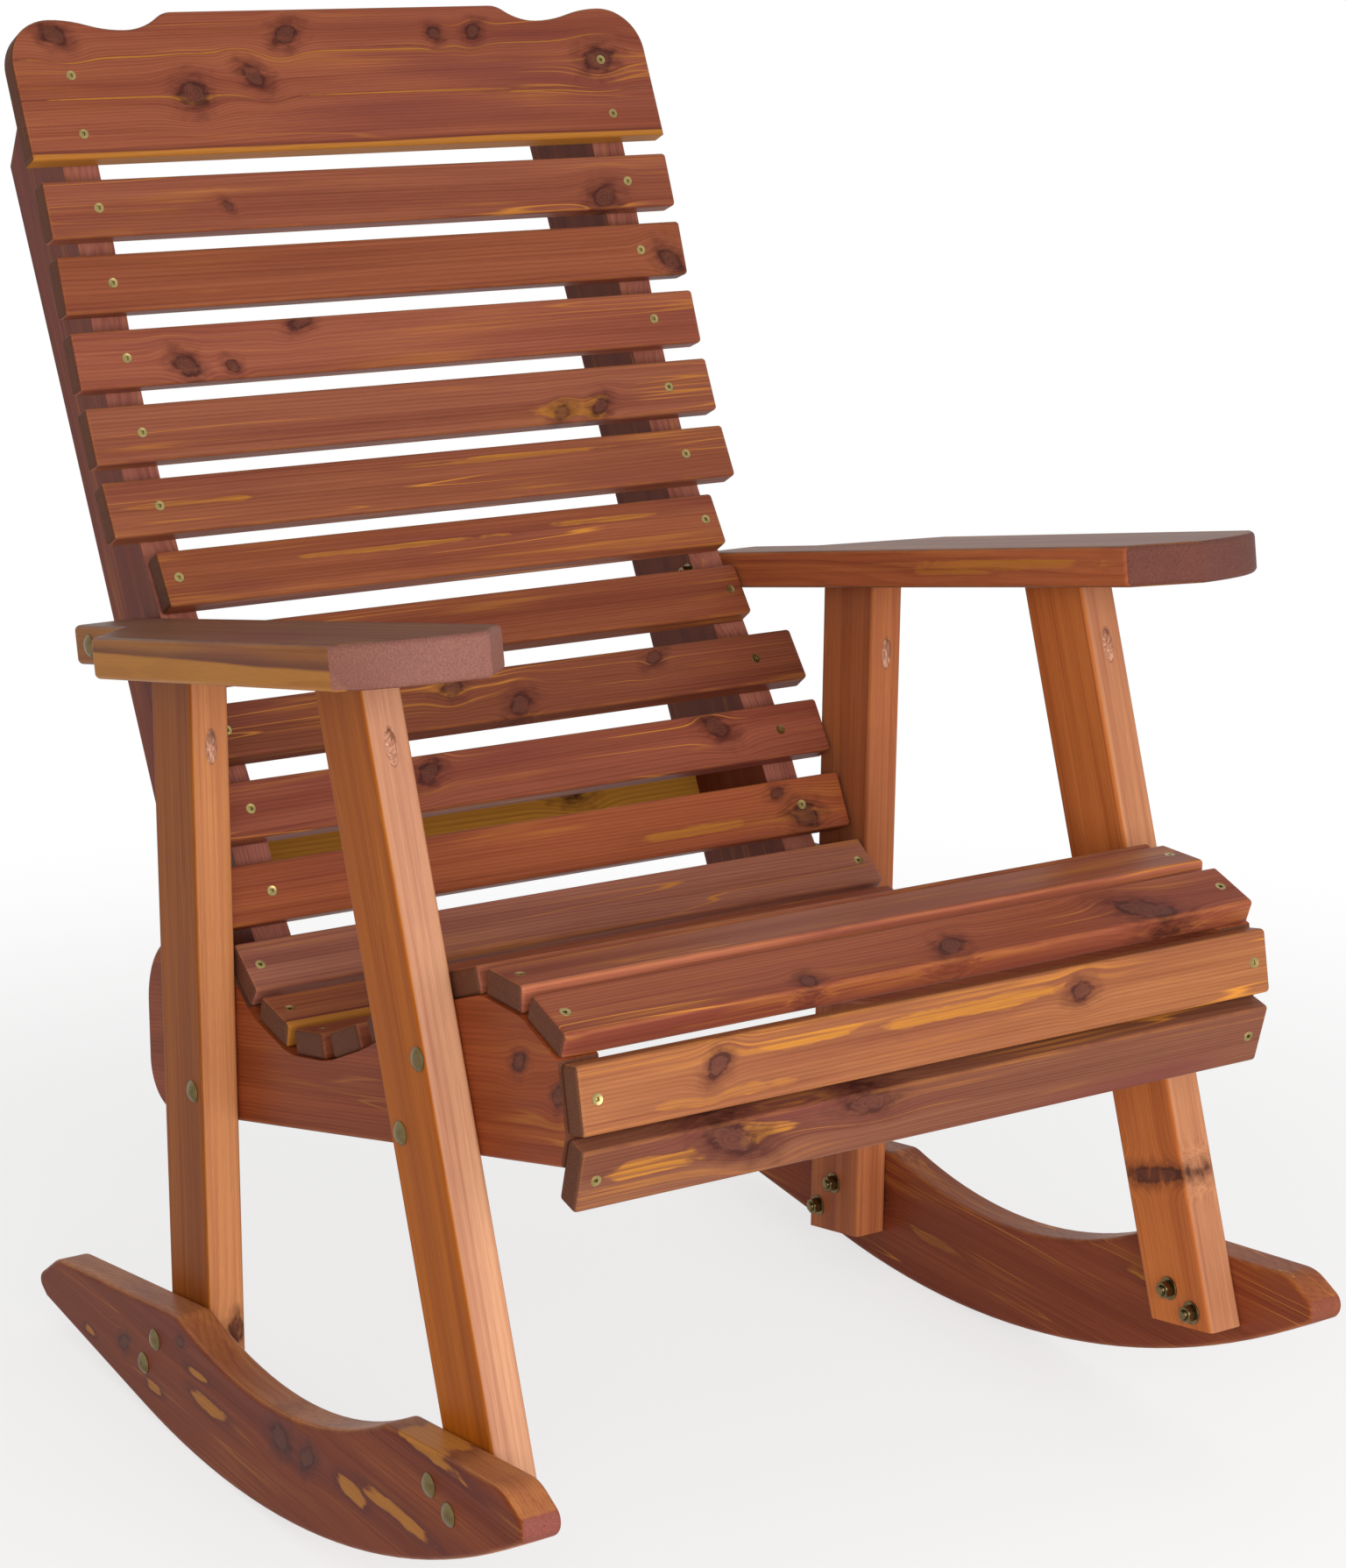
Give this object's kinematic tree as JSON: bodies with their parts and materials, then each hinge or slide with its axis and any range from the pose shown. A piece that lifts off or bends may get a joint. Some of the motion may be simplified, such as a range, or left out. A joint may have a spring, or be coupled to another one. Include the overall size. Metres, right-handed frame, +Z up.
{
  "type": "outdoor rocking chair",
  "caption": "Slatted wooden outdoor rocking chair with a curved seat, tall reclined slatted back with a shaped crest board, broad flat arms and bolted rockers.",
  "frame": {"origin": "on the floor, below the middle of the chair's bounding box, with the chair in the attitude in which it comes to rest", "axes": "+Z up, the sitter faces -Y, +X to the sitter's left; YZ is the plane of symmetry"},
  "size_m": [0.802, 1.0326, 1.0969],
  "materials": {
    "yellow_zinc_screw": "yellow zinc plated",
    "plated_bolt": "yellow zinc plated",
    "cedar_leg": "satin clear finish",
    "cedar_rail": "satin clear finish",
    "cedar_rocker": "satin clear finish",
    "cedar_arm": "satin clear finish",
    "cedar_stile": "satin clear finish",
    "cedar_slat": "satin clear finish"
  },
  "bodies": {
    "root": {"apron_slat_lower": "cedar_slat", "apron_slat_screws": "yellow_zinc_screw", "apron_slat_upper": "cedar_slat", "armrest_left": "cedar_arm", "armrest_right": "cedar_arm", "armrest_screws": "yellow_zinc_screw", "back_brace": "cedar_stile", "back_brace_screws": "yellow_zinc_screw", "back_slat_01": "cedar_slat", "back_slat_02": "cedar_slat", "back_slat_03": "cedar_slat", "back_slat_04": "cedar_slat", "back_slat_05": "cedar_slat", "back_slat_06": "cedar_slat", "back_slat_07": "cedar_slat", "back_slat_08": "cedar_slat", "back_slat_09": "cedar_slat", "back_slat_10": "cedar_slat", "back_slat_screws": "yellow_zinc_screw", "back_stile_bolt_nuts": "plated_bolt", "back_stile_bolt_washers": "plated_bolt", "back_stile_bolts": "plated_bolt", "back_stile_left": "cedar_stile", "back_stile_right": "cedar_stile", "crest_board": "cedar_slat", "crest_board_screws": "yellow_zinc_screw", "front_leg_left": "cedar_leg", "front_leg_right": "cedar_leg", "rear_leg_left": "cedar_leg", "rear_leg_right": "cedar_leg", "rocker_bolt_nuts": "plated_bolt", "rocker_bolt_washers": "plated_bolt", "rocker_bolts": "plated_bolt", "rocker_left": "cedar_rocker", "rocker_right": "cedar_rocker", "seat_rail_bolt_nuts": "plated_bolt", "seat_rail_bolt_washers": "plated_bolt", "seat_rail_bolts": "plated_bolt", "seat_rail_left": "cedar_rail", "seat_rail_right": "cedar_rail", "seat_slat_1": "cedar_slat", "seat_slat_2": "cedar_slat", "seat_slat_3": "cedar_slat", "seat_slat_4": "cedar_slat", "seat_slat_5": "cedar_slat", "seat_slat_6": "cedar_slat", "seat_slat_7": "cedar_slat", "seat_slat_8": "cedar_slat", "seat_slat_9": "cedar_slat", "seat_slat_screws": "yellow_zinc_screw"}
  },
  "joints": []
}
